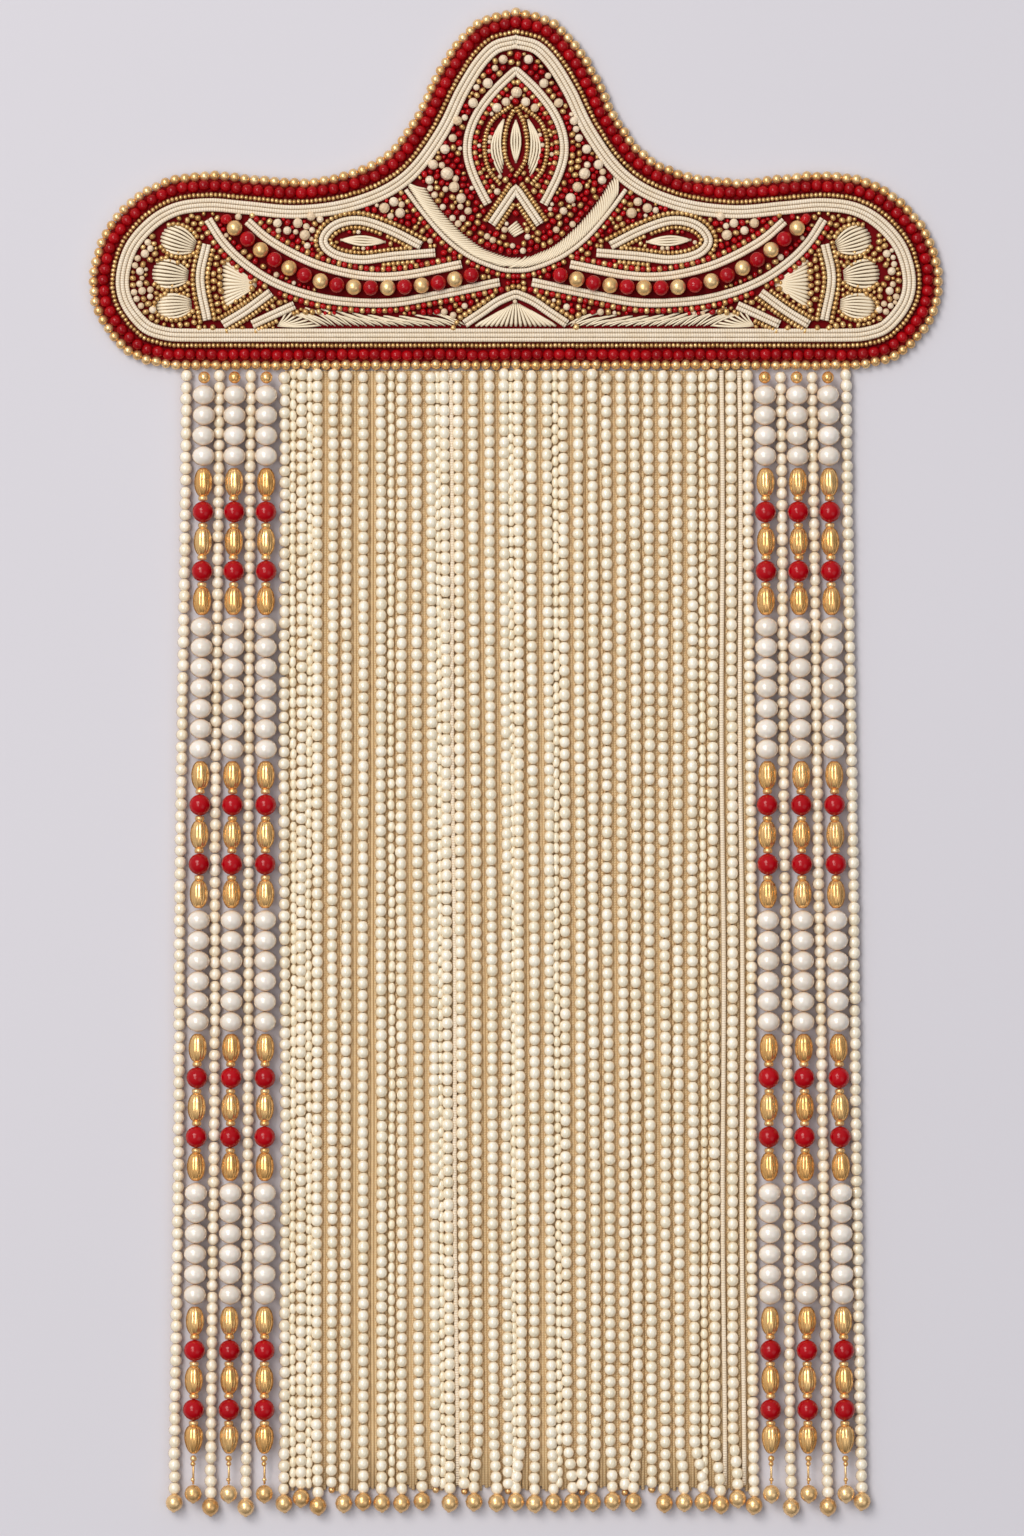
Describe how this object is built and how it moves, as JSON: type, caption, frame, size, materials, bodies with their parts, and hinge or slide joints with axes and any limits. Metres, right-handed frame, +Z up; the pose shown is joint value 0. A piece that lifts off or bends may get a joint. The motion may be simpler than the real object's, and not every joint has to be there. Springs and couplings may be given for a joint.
{
  "type": "sehra",
  "caption": "Groom's sehra lying flat: a pointed red velvet crest with cord embroidery and bead rims, and a long curtain of pearl strings with larger beaded strands at its sides.",
  "frame": {"origin": "middle of the outline on the surface that the crest's back and the strings rest on", "axes": "+Z up out of the face of the lying veil, +Y from the ends of the strings to the crest's peak, +X to the right as the picture shows it"},
  "size_m": [0.2434, 0.4315, 0.0073],
  "materials": {
    "velvet_red": "short-pile silk velvet",
    "bead_gold": "satin gold-coloured beads",
    "bead_red": "polished dark red glass beads",
    "cord_cream": "thread-wrapped couching cord",
    "satin_cream": "satin-stitched silk thread over padding",
    "row_red_gold": "glossy red and satin gold beads in turn",
    "pearl_cream": "small cream pearl beads with a pearl coat",
    "pearl_ivory": "large ivory pearl beads, gold olives and red beads"
  },
  "bodies": {
    "root": {"arch_cord": "cord_cream", "border_piping": "cord_cream", "centre_fan": "satin_cream", "crest_board": "velvet_red", "gold_rim": "bead_gold", "left_bead_row": "row_red_gold", "left_leaf": "cord_cream", "left_lobe_motif": "satin_cream", "left_lower_cord": "cord_cream", "left_strand_inner": "pearl_ivory", "left_strand_middle": "pearl_ivory", "left_strand_outer": "pearl_ivory", "left_upper_cord": "cord_cream", "pearl_string_01": "pearl_cream", "pearl_string_02": "pearl_cream", "pearl_string_03": "pearl_cream", "pearl_string_04": "pearl_cream", "pearl_string_05": "pearl_cream", "pearl_string_06": "pearl_cream", "pearl_string_07": "pearl_cream", "pearl_string_08": "pearl_cream", "pearl_string_09": "pearl_cream", "pearl_string_10": "pearl_cream", "pearl_string_11": "pearl_cream", "pearl_string_12": "pearl_cream", "pearl_string_13": "pearl_cream", "pearl_string_14": "pearl_cream", "pearl_string_15": "pearl_cream", "pearl_string_16": "pearl_cream", "pearl_string_17": "pearl_cream", "pearl_string_18": "pearl_cream", "pearl_string_19": "pearl_cream", "pearl_string_20": "pearl_cream", "pearl_string_21": "pearl_cream", "pearl_string_22": "pearl_cream", "pearl_string_23": "pearl_cream", "pearl_string_24": "pearl_cream", "pearl_string_25": "pearl_cream", "pearl_string_26": "pearl_cream", "pearl_string_27": "pearl_cream", "pearl_string_28": "pearl_cream", "pearl_string_29": "pearl_cream", "pearl_string_30": "pearl_cream", "pearl_string_31": "pearl_cream", "pearl_string_32": "pearl_cream", "pearl_string_33": "pearl_cream", "pearl_string_34": "pearl_cream", "pearl_string_35": "pearl_cream", "pearl_string_36": "pearl_cream", "pearl_string_37": "pearl_cream", "red_rim": "bead_red", "right_bead_row": "row_red_gold", "right_leaf": "cord_cream", "right_lobe_motif": "satin_cream", "right_lower_cord": "cord_cream", "right_strand_inner": "pearl_ivory", "right_strand_middle": "pearl_ivory", "right_strand_outer": "pearl_ivory", "right_upper_cord": "cord_cream", "swag_band": "satin_cream"}
  },
  "joints": []
}
